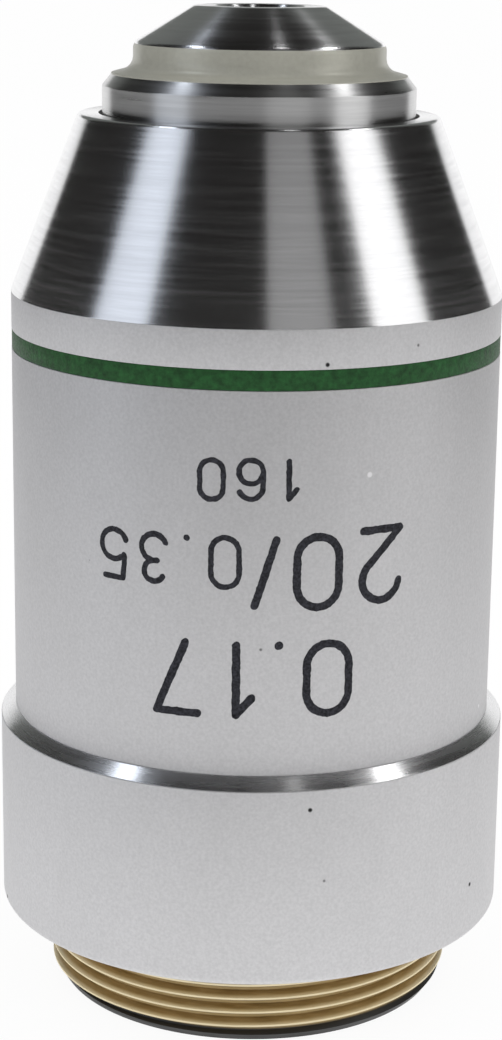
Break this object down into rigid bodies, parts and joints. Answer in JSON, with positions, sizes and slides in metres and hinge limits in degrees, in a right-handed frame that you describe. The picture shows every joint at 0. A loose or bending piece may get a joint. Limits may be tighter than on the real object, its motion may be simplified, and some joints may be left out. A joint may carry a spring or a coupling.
{
  "type": "microscope objective",
  "caption": "Microscope objective: satin metal sleeve with a polished cone and green band, wider collar, mounting thread below, and a spring-loaded stepped nose with lenses inside.",
  "frame": {"origin": "centre of the mounting thread's end face, on the optical axis, at the bottom of the part", "axes": "+Z along the optical axis towards the front lens; the engraved figures face -Y; +X to the right of them"},
  "size_m": [0.0252, 0.0252, 0.0487],
  "materials": {
    "satin_chrome": "satin",
    "polished_chrome": "polished",
    "green_enamel": "gloss",
    "plain_brass": "satin",
    "blackened_brass": "matt",
    "spring_steel": "satin",
    "optical_glass": "polished"
  },
  "bodies": {
    "housing": {"threaded_mount": "satin_chrome", "sleeve": "satin_chrome", "magnification_band": "green_enamel", "parfocal_shim": "plain_brass", "spring_seat": "plain_brass", "nose_spring": "spring_steel", "guide_screw": "spring_steel"},
    "nose": {"lens_barrel": "polished_chrome", "front_cell": "polished_chrome", "front_lens": "optical_glass", "second_lens": "optical_glass", "second_lens_ring": "blackened_brass", "doublet_a_cell": "blackened_brass", "doublet_a_crown": "optical_glass", "doublet_a_flint": "optical_glass", "front_spacer": "blackened_brass", "aperture_stop": "blackened_brass", "doublet_b_cell": "blackened_brass", "doublet_b_crown": "optical_glass", "doublet_b_flint": "optical_glass", "rear_spacer": "blackened_brass", "rear_cell": "blackened_brass", "rear_lens": "optical_glass", "retaining_ring": "blackened_brass"}
  },
  "joints": [
    {"name": "nose_retraction", "type": "slide", "parent": "housing", "child": "nose", "axis": [0, 0, -1], "range_m": [0, 0.002], "stiffness_N_per_m": 400, "springref_m": -0.004, "deforming": ["nose_spring"]}
  ]
}
